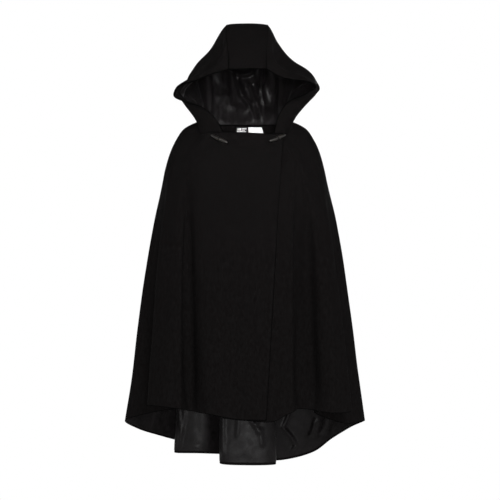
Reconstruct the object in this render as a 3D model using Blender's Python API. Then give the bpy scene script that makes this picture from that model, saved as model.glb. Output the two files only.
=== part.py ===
"""Hooded wool poncho with a wrapped front, a dipped back hem and a satin lining, worn form, no wearer.

Metres, +Z up. The origin is at the middle of the neck, level with the shoulders.
The front faces -Y and the wearer's right side is at -X.
"""

import math

import bpy
import numpy as np

# Cloth and seams
CLOTH = 0.0022
LINING = 0.0010
FACING = 0.0012
LABEL = 0.0010
SEAM = 0.0003
WRAP_LIFT = 0.0058
FACING_ROWS = 2

# Rings of the body from the neck seam down to the plain flare at the hem.
# down is the share of the way to the hem, side the half width, front and back the depths.
RING_COLUMNS = ("down", "side", "front", "back", "z_front", "z_side", "z_back")
RINGS = (
    (0.000, 0.132, -0.105, 0.082, -0.023, 0.017, 0.016),
    (0.030, 0.152, -0.111, 0.090, -0.044, 0.0085, -0.006),
    (0.060, 0.172, -0.119, 0.099, -0.066, -0.004, -0.033),
    (0.105, 0.194, -0.133, 0.114, -0.104, -0.036, -0.083),
    (0.200, 0.224, -0.150, 0.132, -0.170, -0.117, -0.155),
    (0.290, 0.242, -0.160, 0.142, -0.240, -0.207, -0.230),
    (0.400, 0.259, -0.169, 0.150, -0.335, -0.317, -0.330),
    (1.000, 0.315, -0.205, 0.190, -0.787, -0.800, -0.945),
)
RING_ROWS = (0.0, 0.02, 0.045, 0.075, 0.115, 0.165, 0.23, 0.31, 0.41, 0.56, 0.77, 0.993, 1.0)
RING_SQUARE = 0.045
FRONT_WIDTH = 0.192
FOLD_START = 0.10

# Folds of the hem, from the free edge of the over front round the back to that of the under front.
# turn is the bearing in degrees where the fold leaves the shoulders: 0 in front, -90 at the left
# in the photo, -180 behind. top is the share down at which the cloth begins there.
# x, y and z are the hem in metres. late is how late the fold grows.
FOLD_COLUMNS = ("name", "steps", "turn", "top", "x", "y", "z", "late")
FOLDS = (
    ("over edge", 4, 15, 0.012, 0.058, -0.207, -0.792, 1.0),
    ("front middle", 3, -7, 0.0, -0.025, -0.208, -0.789, 1.0),
    ("left flat", 3, -22, 0.0, -0.090, -0.203, -0.777, 1.0),
    ("left trough", 2, -40, 0.0, -0.147, -0.164, -0.772, 1.0),
    ("left crest", 2, -46, 0.0, -0.169, -0.199, -0.764, 1.0),
    ("left face", 2, -57, 0.0, -0.222, -0.188, -0.758, 1.0),
    ("left fold edge", 2, -68, 0.0, -0.267, -0.148, -0.759, 1.1),
    ("left side valley", 3, -79, 0.0, -0.182, -0.090, -0.772, 1.6),
    ("left rear flank", 2, -90, 0.0, -0.264, -0.056, -0.792, 1.4),
    ("left outer corner", 2, -100, 0.0, -0.336, 0.008, -0.822, 1.0),
    ("left back flank", 2, -112, 0.0, -0.309, 0.076, -0.852, 1.0),
    ("left back lobe", 2, -121, 0.0, -0.235, 0.160, -0.889, 1.1),
    ("left back crest", 2, -130, 0.0, -0.152, 0.205, -0.921, 1.1),
    ("left pleat edge", 2, -139, 0.0, -0.202, 0.118, -0.928, 1.3),
    ("left pleat face", 2, -148, 0.0, -0.125, 0.106, -0.928, 1.2),
    ("left middle crest", 2, -157, 0.0, -0.038, 0.170, -0.946, 1.1),
    ("box left edge", 4, -164, 0.0, -0.069, 0.088, -0.955, 1.3),
    ("box middle", 4, -180, 0.0, 0.010, 0.072, -0.957, 1.2),
    ("box right edge", 2, -196, 0.0, 0.087, 0.088, -0.957, 1.3),
    ("right middle crest", 2, -203, 0.0, 0.050, 0.160, -0.958, 1.1),
    ("right lobe start", 2, -211, 0.0, 0.110, 0.198, -0.962, 1.1),
    ("right lobe", 3, -221, 0.0, 0.204, 0.193, -0.936, 1.1),
    ("right back lobe", 2, -234, 0.0, 0.252, 0.150, -0.893, 1.0),
    ("right back flank", 2, -247, 0.0, 0.306, 0.072, -0.846, 1.0),
    ("right outer corner", 2, -260, 0.0, 0.337, 0.004, -0.820, 1.0),
    ("right rear flank", 2, -270, 0.0, 0.276, -0.062, -0.820, 1.4),
    ("right side valley", 3, -281, 0.0, 0.192, -0.092, -0.786, 1.6),
    ("right fold edge", 2, -292, 0.0, 0.285, -0.146, -0.777, 1.1),
    ("right face", 3, -304, 0.0, 0.236, -0.184, -0.776, 1.0),
    ("right trough", 3, -316, 0.0, 0.149, -0.163, -0.768, 1.0),
    ("right crest", 2, -322, 0.0, 0.131, -0.197, -0.771, 1.0),
    ("right hood end", 2, -328, 0.0, 0.112, -0.202, -0.778, 1.0),
    ("right flat", 3, -337, 0.014, 0.082, -0.204, -0.794, 1.0),
    ("under middle", 3, -354, 0.017, 0.012, -0.206, -0.794, 1.0),
    ("under edge", 1, -375, 0.017, -0.058, -0.205, -0.787, 1.0),
)
LEFT_SEAM, RIGHT_SEAM = "left outer corner", "right outer corner"
HOOD_LEFT, HOOD_RIGHT = "left flat", "right hood end"
NAPE_LEFT, NAPE_RIGHT = "box left edge", "box right edge"

# Free edges of the two fronts: x at the top, x at the hem, and how early the edge slants in
OVER_EDGE = (0.106, 0.058, 0.8)
UNDER_EDGE = (-0.070, -0.058, 1.0)

# Hood: middle line of the strip over the head, from the brim to the nape
STRIP_COLUMNS = ("name", "x", "y", "z", "half_width")
STRIP = (
    ("brim", 0.008, -0.152, 0.144, 0.051),
    ("brow", 0.007, -0.126, 0.186, 0.052),
    ("forehead", 0.006, -0.084, 0.238, 0.057),
    ("crown front", 0.006, -0.034, 0.279, 0.059),
    ("crown", 0.006, 0.018, 0.294, 0.059),
    ("crown back", 0.005, 0.072, 0.276, 0.057),
    ("back of head", 0.002, 0.110, 0.230, 0.051),
    ("hollow", 0.001, 0.118, 0.165, 0.048),
    ("nape", 0.0, 0.106, 0.088, 0.046),
    ("neck seam", 0.0, 0.082, 0.016, 0.043),
)
STRIP_CROWN = 0.004
BACK_CORNER = "back of head"

# Front edge of the hood on each side, from the strip down to the neck seam
EDGE_COLUMNS = ("name", "x", "y", "z")
EDGE_LEFT = (
    ("brim", -0.086, -0.146, 0.132),
    ("temple", -0.134, -0.139, 0.115),
    ("above tip", -0.186, -0.131, 0.096),
    ("tip", -0.193, -0.126, 0.075),
    ("below tip", -0.164, -0.121, 0.058),
    ("cheek", -0.110, -0.118, 0.040),
    ("jaw", -0.083, -0.116, 0.017),
)
EDGE_RIGHT = (
    ("brim", 0.090, -0.146, 0.128),
    ("temple", 0.138, -0.139, 0.116),
    ("above tip", 0.180, -0.131, 0.110),
    ("tip", 0.193, -0.127, 0.099),
    ("below tip", 0.169, -0.122, 0.080),
    ("cheek", 0.112, -0.115, 0.053),
    ("jaw", 0.092, -0.110, 0.022),
)
# Fullness of the hood's sides: where on the side, how wide, and how far it stands out
BULGE_COLUMNS = ("name", "side", "along", "up", "width", "outward")
BULGES = (
    ("left head side", -1, 0.70, 0.60, 0.35, 0.010),
    ("left temple", -1, 0.26, 0.73, 0.28, -0.100),
    ("left neck side", -1, 0.28, 0.25, 0.25, 0.039),
    ("right head side", 1, 0.75, 0.60, 0.35, 0.010),
    ("right temple", 1, 0.27, 0.67, 0.26, -0.080),
    ("right neck side", 1, 0.26, 0.30, 0.28, 0.086),
)
EDGE_STEPS, FACING_STEPS = 10, 3

# Toggles and the cord bands that hold them: x, z and the slope in degrees
TOGGLE_LENGTH, TOGGLE_RADIUS = 0.054, 0.0047
TOGGLE_SIDES, TOGGLE_SECTIONS = 12, 11
BAND_WIDTH, BAND_THICKNESS, TOGGLE_CLEAR = 0.0052, 0.0018, 0.0013
TOGGLES = (("left", -0.068, -0.044, -26.0), ("right", 0.087, -0.041, 204.0))

# Labels inside the back neck: middle and width, with their material
LABELS = (("label_maker", -0.010, 0.032, "label_dark"), ("label_care", 0.030, 0.041, "label_light"))
LABEL_DOWN = (0.008, 0.038)

MATERIALS = {
    "wool": ((0.012, 0.011, 0.0115), 0.95, 0.0),
    "satin": ((0.016, 0.015, 0.0155), 0.38, 0.0),
    "horn": ((0.035, 0.033, 0.028), 0.28, 0.0),
    "cord": ((0.010, 0.010, 0.010), 0.85, 0.0),
    "label_dark": ((0.02, 0.02, 0.02), 0.6, 0.0),
    "label_light": ((0.85, 0.84, 0.84), 0.7, 0.0),
}


def clear_scene():
    for obj in list(bpy.data.objects):
        bpy.data.objects.remove(obj)


def material(name):
    colour, roughness, metallic = MATERIALS[name]
    made = bpy.data.materials.get(name)
    if made is None:
        made = bpy.data.materials.new(name)
        made.use_nodes = True
        shader = made.node_tree.nodes["Principled BSDF"]
        shader.inputs["Base Color"].default_value = (*colour, 1.0)
        shader.inputs["Roughness"].default_value = roughness
        shader.inputs["Metallic"].default_value = metallic
    return made


def column(table, columns, name):
    return np.array([row[columns.index(name)] for row in table], float)


def smooth(knots, values, at):
    """A curve through the values at the knots, with slopes taken from both neighbours."""
    knots, values = np.asarray(knots, float), np.asarray(values, float)
    at = np.asarray(at, float)
    step = np.diff(knots)
    rise = np.diff(values) / step
    slope = np.empty_like(values)
    slope[1:-1] = (rise[:-1] * step[1:] + rise[1:] * step[:-1]) / (step[1:] + step[:-1])
    slope[0], slope[-1] = rise[0], rise[-1]
    i = np.clip(np.searchsorted(knots, at, side="right") - 1, 0, len(step) - 1)
    t = (at - knots[i]) / step[i]
    return (
        (1 + 2 * t) * (1 - t) ** 2 * values[i]
        + t * (1 - t) ** 2 * step[i] * slope[i]
        + t * t * (3 - 2 * t) * values[i + 1]
        + t * t * (t - 1) * step[i] * slope[i + 1]
    )


def ease(t):
    t = np.clip(t, 0.0, 1.0)
    return t * t * (3 - 2 * t)


def unit(vectors):
    return vectors / np.linalg.norm(vectors, axis=-1, keepdims=True)


def ring_at(down, name):
    return smooth(column(RINGS, RING_COLUMNS, "down"), column(RINGS, RING_COLUMNS, name), down)


def side_reach(down, across):
    """Half width of a ring as it acts at this sideways share: the flare goes to the sides."""
    side = ring_at(down, "side")
    plain = np.minimum(side, FRONT_WIDTH)
    return plain + (side - plain) * np.abs(across) ** 3


def turn_at(x, down):
    """Bearing in radians at which the plain form has this x."""
    turn = np.arcsin(np.clip(x / side_reach(down, 1.0), -0.9, 0.9))
    for _ in range(8):
        here = form(turn, down)[..., 0]
        slope = (form(turn + 1e-4, down)[..., 0] - here) / 1e-4
        turn = turn - (here - x) / slope
    return turn


def form(turn, down):
    """The garment's form with no folds: rounded rings, tilted down in front and behind."""
    sine, cosine = np.sin(turn), np.cos(turn)
    corner = 1 - RING_SQUARE
    across = (sine + RING_SQUARE * np.sin(3 * turn)) / corner
    along = (cosine - RING_SQUARE * np.cos(3 * turn)) / corner
    x = side_reach(down, across) * across
    depth = np.where(cosine > 0, -ring_at(down, "front"), ring_at(down, "back"))
    tilt = np.where(cosine > 0, ease(cosine / 0.6), ease(-cosine))
    end = np.where(cosine > 0, ring_at(down, "z_front"), ring_at(down, "z_back"))
    z = ring_at(down, "z_side") * (1 - tilt) + end * tilt
    return np.stack([x, -along * depth, z], axis=-1)


class Curve:
    """A smooth line through named points, measured by its share of the whole length."""

    def __init__(self, points):
        points = np.asarray(points, float)
        steps = np.linalg.norm(np.diff(points, axis=0), axis=1)
        self.points = points
        self.share = np.concatenate([[0], np.cumsum(steps)]) / steps.sum()

    def at(self, share):
        return np.stack([smooth(self.share, self.points[:, k], share) for k in range(3)], axis=-1)


class Cape:
    """The whole body cloth as one grid: columns along the hem, rows from neck to hem."""

    def __init__(self):
        names = [row[0] for row in FOLDS]
        self.hem = np.stack([column(FOLDS, FOLD_COLUMNS, c) for c in "xyz"], axis=-1)
        lengths = np.linalg.norm(np.diff(self.hem, axis=0), axis=1)
        self.knots = np.concatenate([[0], np.cumsum(lengths)])
        steps = column(FOLDS, FOLD_COLUMNS, "steps").astype(int)[:-1]
        runs = [np.linspace(*self.knots[i : i + 2], n, endpoint=False) for i, n in enumerate(steps)]
        self.along = np.concatenate([*runs, [self.knots[-1]]])
        self.mark = {name: int(steps[:i].sum()) for i, name in enumerate(names)}

    def station(self, name, along):
        return smooth(self.knots, column(FOLDS, FOLD_COLUMNS, name), along)

    def slanted(self, turn, down, share, edge):
        """Bearings with the columns near a free edge drawn to that edge's line."""
        top, hem, early = edge
        line = turn_at(top + (hem - top) * down**early, down)
        return turn + share * (line - turn_at(np.full_like(down, hem), np.ones_like(down)))

    def at(self, along, down):
        """Points of the outer face at these places along the hem and shares down."""
        along, down = np.broadcast_arrays(along, down)
        hem = np.stack([smooth(self.knots, self.hem[:, k], along) for k in range(3)], axis=-1)
        turn = np.radians(self.station("turn", along))
        fold = hem - form(turn, np.ones_like(down))
        k = self.knots
        turn = self.slanted(turn, down, np.clip((k[1] - along) / (k[1] - k[0]), 0, 1), OVER_EDGE)
        turn = self.slanted(turn, down, np.clip((along - k[-2]) / (k[-1] - k[-2]), 0, 1), UNDER_EDGE)
        late = self.station("late", along)
        grown = np.clip((down - FOLD_START) / (1 - FOLD_START), 0, 1) ** late
        return form(turn, down) + fold * (grown * ease((down - FOLD_START) / 0.25))[..., None]

    def lift(self, along):
        """How far the over front stands off the under front, faded out past the left trough."""
        start, end = self.knots[3], self.knots[5]
        return WRAP_LIFT * (1 - ease((along - start) / (end - start)))

    def grid(self, along, rows):
        """Outer points and outward directions, columns along the hem and rows from top to hem."""
        top = np.clip(self.station("top", along), 0, 1)[:, None]
        points = self.at(along[:, None], top + (1 - top) * rows[None, :])
        normals = grid_normals(points)
        return points + normals * self.lift(along)[:, None, None], normals

    def front_point(self, x, z):
        """The place on the over front's faces with this x and z, and its outward direction."""
        points, normals = self.grid(self.along[:12], np.array(RING_ROWS[:8]))
        for axis in (0, 1):
            count = points.shape[axis]
            share = np.linspace(0, count - 1, 16 * (count - 1) + 1)
            low = np.minimum(share.astype(int), count - 2)
            part = np.expand_dims(share - low, (1, 2) if axis == 0 else (0, 2))
            points, normals = (
                np.take(g, low, axis) * (1 - part) + np.take(g, low + 1, axis) * part for g in (points, normals)
            )
        off = np.hypot(points[..., 0] - x, points[..., 2] - z)
        place = np.unravel_index(off.argmin(), off.shape)
        return points[place], unit(normals[place])


class Hood:
    """Two sides and a strip over the head as grids that share their seams."""

    def __init__(self, cape, neck):
        marks = [cape.mark[name] for name in (HOOD_LEFT, NAPE_LEFT, NAPE_RIGHT, HOOD_RIGHT)]
        neck = neck + np.array([0, 0, SEAM])
        bottom = {-1: neck[marks[0] : marks[1] + 1], 1: neck[marks[3] : marks[2] - 1 : -1]}
        middle = np.stack([column(STRIP, STRIP_COLUMNS, c) for c in "xyz"], axis=-1)
        half = column(STRIP, STRIP_COLUMNS, "half_width")
        corner = [row[0] for row in STRIP].index(BACK_CORNER)
        self.up = np.linspace(0, 1, EDGE_STEPS + 1)
        seams, self.sides = {}, {}
        for side, edge in ((-1, EDGE_LEFT), (1, EDGE_RIGHT)):
            line = middle + np.outer(half, [side, 0, 0])
            line[-1] = bottom[side][-1]
            line = Curve(line)
            turn = line.share[corner]
            foot = bottom[side]
            run = np.cumsum(np.linalg.norm(np.diff(foot, axis=0), axis=1))
            along = np.concatenate([[0], run]) / run[-1]
            front = np.stack([column(edge, EDGE_COLUMNS, c) for c in "xyz"], axis=-1)
            front = Curve(np.concatenate([[foot[0]], front[::-1], [line.at(0.0)]]))
            tip = front.share[len(edge) - [row[0] for row in edge].index("tip")]
            front_up = np.interp(self.up, [0, 0.5, 1], [0, tip, 1])
            top, rear = line.at(along * turn), line.at(1 - self.up * (1 - turn))
            self.sides[side] = self.patch(side, along, foot, front.at(front_up), top, rear)
            seams[side] = np.concatenate([top, rear[-2::-1]])
        across = neck[marks[1] : marks[2] + 1 : 2]
        chord = np.linalg.norm(across - across[0], axis=1) / np.linalg.norm(across[-1] - across[0])
        left, right = seams[-1][None], seams[1][None]
        share = chord[:, None, None]
        flat = left + (right - left) * share
        over = unit(np.cross(right - left, np.gradient(flat, axis=1)))
        end = across - (across[0] + (across[-1] - across[0]) * chord[:, None])
        grow = ease((np.arange(flat.shape[1]) / (flat.shape[1] - 1) - 0.8) / 0.2)[None, :, None]
        self.strip = flat + (1 - grow) * STRIP_CROWN * 4 * share * (1 - share) * over + grow * end[:, None]
        self.join_seams()

    def patch(self, side, along, foot, front, top, rear):
        """Coons patch between four edges, then pushed out where the head's side is full."""
        s, t = along[:, None, None], self.up[None, :, None]
        ruled = (1 - t) * foot[:, None] + t * top[:, None] + (1 - s) * front[None] + s * rear[None]
        corners = (1 - s) * ((1 - t) * foot[0] + t * top[0]) + s * ((1 - t) * foot[-1] + t * top[-1])
        points = ruled - corners
        edge = 16 * s * (1 - s) * t * (1 - t)
        for _, on, a, b, width, outward in BULGES:
            if on == side:
                near = np.exp(-((s - a) ** 2 + (t - b) ** 2) / width**2) * edge
                points = points + near * np.array([side * outward, 0, 0])
        return points

    def join_seams(self):
        """Gives the pieces the same outward directions along each seam and parts them by its gap."""
        self.normals = {side: side * grid_normals(p) for side, p in self.sides.items()}
        self.strip_normals = grid_normals(self.strip)
        for side, edge in ((-1, 0), (1, -1)):
            own, points = self.normals[side], self.sides[side]
            line = np.concatenate([own[:, -1], own[-1, -2::-1]])
            shared = unit(line + self.strip_normals[edge])
            away = unit(np.cross(shared, np.gradient(self.strip[edge], axis=0))) * -side * SEAM / 2
            seam = self.strip[edge] + away
            self.strip[edge] -= away
            for grid, values in ((own, shared), (points, seam)):
                grid[:, -1] = values[: len(own)]
                grid[-1, ::-1] = values[len(own) - 1 :]
            self.strip_normals[edge] = shared


def grid_normals(points):
    """Outward directions from each point's neighbours along the two directions of a grid."""
    return unit(np.cross(np.gradient(points, axis=0), np.gradient(points, axis=1)))


def triangles(points):
    """Two triangles for each cell of a grid, split along the shorter diagonal."""
    columns, rows = points.shape[:2]
    index = np.arange(columns * rows).reshape(columns, rows)
    a, b, c, d = index[:-1, :-1], index[1:, :-1], index[1:, 1:], index[:-1, 1:]
    one = np.linalg.norm(points[1:, 1:] - points[:-1, :-1], axis=-1)
    other = np.linalg.norm(points[:-1, 1:] - points[1:, :-1], axis=-1)
    first = np.where((one <= other)[..., None], np.stack([a, b, c], -1), np.stack([a, b, d], -1))
    second = np.where((one <= other)[..., None], np.stack([a, c, d], -1), np.stack([b, c, d], -1))
    return index, np.concatenate([first.reshape(-1, 3), second.reshape(-1, 3)])


def wall(name, points, normals, outside, inside, slot, cells=None):
    """A closed wall between two offsets of a grid of points, both measured inwards."""
    outer = points - normals * outside
    inner = points - normals * inside
    index, shown = triangles(points if cells is None else cells)
    shift = index.size
    rim = np.concatenate([index[:-1, 0], index[-1, :-1], index[:0:-1, -1], index[0, :0:-1]])
    edge = np.stack([np.roll(rim, -1), rim, rim + shift, np.roll(rim, -1) + shift], axis=1)
    vertices = np.concatenate([outer.reshape(-1, 3), inner.reshape(-1, 3)])
    add_mesh(name, vertices, [shown, shown[:, ::-1] + shift, edge], slot)


def add_mesh(name, vertices, faces, slot):
    mesh = bpy.data.meshes.new(name)
    mesh.from_pydata(vertices.tolist(), [], [face for group in faces for face in group.tolist()])
    mesh.validate()
    mesh.materials.append(material(slot))
    bpy.data.collections["poncho"].objects.link(bpy.data.objects.new(name, mesh))


def drawn_in(points, gaps):
    """A grid with its first and last columns, then rows, moved in by these gaps in metres."""
    moved = points.copy()
    for axis, pair in ((0, gaps[:2]), (1, gaps[2:])):
        view = np.moveaxis(moved, axis, 0)
        first, last = unit(view[1] - view[0]) * pair[0], unit(view[-2] - view[-1]) * pair[1]
        view[0] += first
        view[-1] += last
    return moved


def layer(name, points, normals, gaps, depth, thickness, slot):
    """A cloth wall whose outer face lies at this depth inside the grid."""
    wall(name, drawn_in(points, gaps), normals, depth, depth + thickness, slot, points)


def build_body(cape, points, normals):
    left, right = cape.mark[LEFT_SEAM], cape.mark[RIGHT_SEAM]
    gap = SEAM / 2
    panels = (
        ("front_over", slice(0, left + 1), (0, gap, 0, 0)),
        ("back", slice(left, right + 1), (gap, gap, 0, 0)),
        ("front_under", slice(right, None), (gap, 0, 0, 0)),
    )
    for name, part, gaps in panels:
        layer(name, points[part], normals[part], gaps, 0, CLOTH, "wool")
        inside = points[part][:, FACING_ROWS:-1], normals[part][:, FACING_ROWS:-1]
        layer("lining_" + name, *inside, (*gaps[:2], gap, 0), CLOTH + SEAM, LINING, "satin")
    span = slice(cape.mark[HOOD_LEFT], cape.mark[HOOD_RIGHT] + 1)
    facing = points[span, : FACING_ROWS + 1], normals[span, : FACING_ROWS + 1]
    layer("neck_facing", *facing, (0, 0, 0, gap), CLOTH + SEAM, FACING, "wool")


def build_hood(hood):
    gap = SEAM / 2
    depth = CLOTH + SEAM
    band = FACING_STEPS
    for side, word in ((-1, "left"), (1, "right")):
        turned = slice(None, None, -1) if side < 0 else slice(None)
        points, normals = hood.sides[side][turned], hood.normals[side][turned]
        layer("hood_side_" + word, points, normals, (0, 0, 0, 0), 0, CLOTH, "wool")
        inside = slice(None, -band) if side < 0 else slice(band, None)
        edge = (0, gap) if side < 0 else (gap, 0)
        layer("lining_hood_" + word, points[inside], normals[inside], (*edge, 0, 0), depth, LINING, "satin")
    points, normals = hood.strip, hood.strip_normals
    layer("hood_strip", points, normals, (0, 0, 0, 0), 0, CLOTH, "wool")
    layer("lining_hood_strip", points[:, band:], normals[:, band:], (0, 0, gap, 0), depth, LINING, "satin")
    run, run_normals = [], []
    for grids, out in ((hood.sides, run), (hood.normals, run_normals)):
        middle = hood.strip if out is run else hood.strip_normals
        out.append(grids[-1][: band + 1].swapaxes(0, 1))
        out.append(middle[1:-1, : band + 1])
        out.append(grids[1][: band + 1].swapaxes(0, 1)[::-1])
    layer("hood_facing", np.concatenate(run), np.concatenate(run_normals), (0, 0, 0, gap), depth, FACING, "wool")


def build_labels(cape):
    for name, middle, width, slot in LABELS:
        near = np.linspace(cape.along[cape.mark[NAPE_LEFT] - 3], cape.along[cape.mark[NAPE_RIGHT] + 3], 200)
        neck = cape.at(near, np.full_like(near, 0.02))[:, 0]
        along = np.interp(middle + width * np.linspace(-0.5, 0.5, 5), neck, near)
        points, normals = cape.grid(along, np.linspace(*LABEL_DOWN, 4))
        depth = CLOTH + FACING + 2 * SEAM
        wall(name, points, normals, depth, depth + LABEL, slot)


def ring_mesh(name, centres, across, over, slot, closed):
    """A tube or a closed band: each section is centre + across * cos + over * sin."""
    sections, sides = across.shape[:2]
    vertices = centres[:, None] + across + over
    index = np.arange(sections * sides).reshape(sections, sides)
    nxt = np.roll(index, -1, axis=0) if closed else index[1:]
    now = index if closed else index[:-1]
    faces = [np.stack([now, np.roll(now, -1, axis=1), np.roll(nxt, -1, axis=1), nxt], axis=-1).reshape(-1, 4)]
    if not closed:
        faces += [index[:1, ::-1], index[-1:]]
    add_mesh(name, vertices.reshape(-1, 3), faces, slot)


def build_toggle(cape, word, x, z, slope):
    place, out = cape.front_point(x, z)
    slope = math.radians(slope)
    line = np.array([math.cos(slope), 0, math.sin(slope)])
    line[1] = -(line @ out) / out[1]
    line = unit(line)
    side = np.cross(out, line)
    height = TOGGLE_RADIUS + BAND_THICKNESS + TOGGLE_CLEAR
    middle = place + out * height
    angle = np.linspace(0, 2 * math.pi, TOGGLE_SIDES, endpoint=False)
    t = np.sin(np.linspace(-math.pi / 2, math.pi / 2, TOGGLE_SECTIONS))
    radius = TOGGLE_RADIUS * np.maximum(1 - np.abs(t) ** 2.6, 0.0) ** 0.55 + 0.0006
    centres = middle + np.outer(t * TOGGLE_LENGTH / 2, line) + np.outer(0.0012 * t * t, out)
    across = radius[:, None, None] * (np.cos(angle)[:, None] * side)[None]
    over = radius[:, None, None] * (np.sin(angle)[:, None] * out)[None]
    ring_mesh("toggle_" + word, centres, across, over, "horn", False)
    around = np.linspace(0, 2 * math.pi, 16, endpoint=False)
    wrap = np.cos(around)[:, None] * side + np.sin(around)[:, None] * out
    reach = TOGGLE_RADIUS + 0.0006 + SEAM + BAND_THICKNESS / 2
    angle = np.linspace(0, 2 * math.pi, 8, endpoint=False)
    across = (np.cos(angle)[:, None] * line)[None] * BAND_WIDTH / 2 + 0 * wrap[:, None]
    over = np.sin(angle)[None, :, None] * wrap[:, None] * BAND_THICKNESS / 2
    ring_mesh("toggle_band_" + word, middle + wrap * reach, across, over, "cord", True)


def main():
    clear_scene()
    collection = bpy.data.collections.new("poncho")
    bpy.context.scene.collection.children.link(collection)
    cape = Cape()
    points, normals = cape.grid(cape.along, np.array(RING_ROWS))
    build_body(cape, points, normals)
    build_hood(Hood(cape, points[:, 0]))
    build_labels(cape)
    for toggle in TOGGLES:
        build_toggle(cape, *toggle)


main()
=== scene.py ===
# Looks of a black wool hooded poncho: cloth shells, satin linings, horn toggles, labels, light, camera
import math
import bpy
import numpy as np
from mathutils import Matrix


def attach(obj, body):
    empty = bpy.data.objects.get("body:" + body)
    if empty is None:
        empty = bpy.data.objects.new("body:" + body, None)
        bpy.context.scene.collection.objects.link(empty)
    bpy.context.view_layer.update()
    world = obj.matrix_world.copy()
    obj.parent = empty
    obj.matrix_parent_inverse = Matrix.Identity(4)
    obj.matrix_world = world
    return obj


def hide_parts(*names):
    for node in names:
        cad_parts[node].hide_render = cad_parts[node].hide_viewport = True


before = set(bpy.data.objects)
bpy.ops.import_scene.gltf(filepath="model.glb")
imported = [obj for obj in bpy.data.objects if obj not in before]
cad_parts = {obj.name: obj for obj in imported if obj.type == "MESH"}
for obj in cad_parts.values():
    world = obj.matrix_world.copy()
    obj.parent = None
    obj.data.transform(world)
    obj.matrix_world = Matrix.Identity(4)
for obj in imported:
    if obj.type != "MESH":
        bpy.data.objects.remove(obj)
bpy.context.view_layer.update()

# The body is cut by the same named sizes as its solids, in metres
bodyCut = {
    "woolThick": 0.0022,
    "liningThick": 0.0006,
    "seam": 0.0003,
    "wrapLift": 0.0058,
    "hemTurn": 0.007,          # lining stops this share of the way before the hem
    "ringSquare": 0.045,
    "frontWidth": 0.192,
    "foldStart": 0.10,         # the folds begin this share of the way down, softly over the next
    "foldSoft": 0.25,
    "cell": 0.0052,            # spacing of the fine grid along the hem
    "rowCount": 165,
    "overEdge": (0.106, 0.058, 0.8),     # x at the top, x at the hem, how early it slants
    "underEdge": (-0.070, -0.058, 1.0),
    "ringColumns": ("down", "side", "front", "back", "zFront", "zSide", "zBack"),
    "rings": (
        (0.000, 0.132, -0.105, 0.082, -0.023, 0.017, 0.016),
        (0.030, 0.152, -0.111, 0.090, -0.044, 0.0085, -0.006),
        (0.060, 0.172, -0.119, 0.099, -0.066, -0.004, -0.033),
        (0.105, 0.194, -0.133, 0.114, -0.104, -0.036, -0.083),
        (0.200, 0.224, -0.150, 0.132, -0.170, -0.117, -0.155),
        (0.290, 0.242, -0.160, 0.142, -0.240, -0.207, -0.230),
        (0.400, 0.259, -0.169, 0.150, -0.335, -0.317, -0.330),
        (1.000, 0.315, -0.205, 0.190, -0.787, -0.800, -0.945),
    ),
    # turn is the bearing where a fold leaves the shoulders, 0 in front; x, y, z are its hem
    "foldColumns": ("name", "turn", "top", "x", "y", "z", "late"),
    "folds": (
        ("over edge", 15, 0.012, 0.058, -0.207, -0.792, 1.0),
        ("front middle", -7, 0.0, -0.025, -0.208, -0.789, 1.0),
        ("left flat", -22, 0.0, -0.090, -0.203, -0.777, 1.0),
        ("left trough", -40, 0.0, -0.147, -0.164, -0.772, 1.0),
        ("left crest", -46, 0.0, -0.169, -0.199, -0.764, 1.0),
        ("left face", -57, 0.0, -0.222, -0.188, -0.758, 1.0),
        ("left fold edge", -68, 0.0, -0.261, -0.149, -0.759, 1.1),
        ("left side valley", -79, 0.0, -0.182, -0.090, -0.772, 1.6),
        ("left rear flank", -90, 0.0, -0.264, -0.056, -0.792, 1.4),
        ("left outer corner", -100, 0.0, -0.336, 0.008, -0.822, 1.0),
        ("left back flank", -112, 0.0, -0.309, 0.076, -0.852, 1.0),
        ("left back lobe", -121, 0.0, -0.235, 0.160, -0.889, 1.1),
        ("left back crest", -130, 0.0, -0.152, 0.205, -0.921, 1.1),
        ("left pleat edge", -139, 0.0, -0.202, 0.118, -0.928, 1.3),
        ("left pleat face", -148, 0.0, -0.125, 0.106, -0.928, 1.2),
        ("left middle crest", -157, 0.0, -0.038, 0.170, -0.946, 1.1),
        ("box left edge", -164, 0.0, -0.069, 0.088, -0.955, 1.3),
        ("box middle", -180, 0.0, 0.010, 0.072, -0.957, 1.2),
        ("box right edge", -196, 0.0, 0.087, 0.088, -0.957, 1.3),
        ("right middle crest", -203, 0.0, 0.050, 0.160, -0.958, 1.1),
        ("right lobe start", -211, 0.0, 0.110, 0.198, -0.962, 1.1),
        ("right lobe", -221, 0.0, 0.204, 0.193, -0.936, 1.1),
        ("right back lobe", -234, 0.0, 0.252, 0.150, -0.893, 1.0),
        ("right back flank", -247, 0.0, 0.306, 0.072, -0.846, 1.0),
        ("right outer corner", -260, 0.0, 0.337, 0.004, -0.820, 1.0),
        ("right rear flank", -270, 0.0, 0.276, -0.062, -0.820, 1.4),
        ("right side valley", -281, 0.0, 0.192, -0.092, -0.786, 1.6),
        ("right fold edge", -292, 0.0, 0.289, -0.146, -0.777, 1.1),
        ("right face", -304, 0.0, 0.236, -0.184, -0.776, 1.0),
        ("right trough", -316, 0.0, 0.149, -0.163, -0.768, 1.0),
        ("right crest", -322, 0.0, 0.131, -0.197, -0.771, 1.0),
        ("right hood end", -328, 0.0, 0.112, -0.202, -0.778, 1.0),
        ("right flat", -337, 0.014, 0.082, -0.204, -0.794, 1.0),
        ("under middle", -354, 0.017, 0.012, -0.206, -0.794, 1.0),
        ("under edge", -375, 0.017, -0.058, -0.205, -0.787, 1.0),
    ),
}


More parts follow.
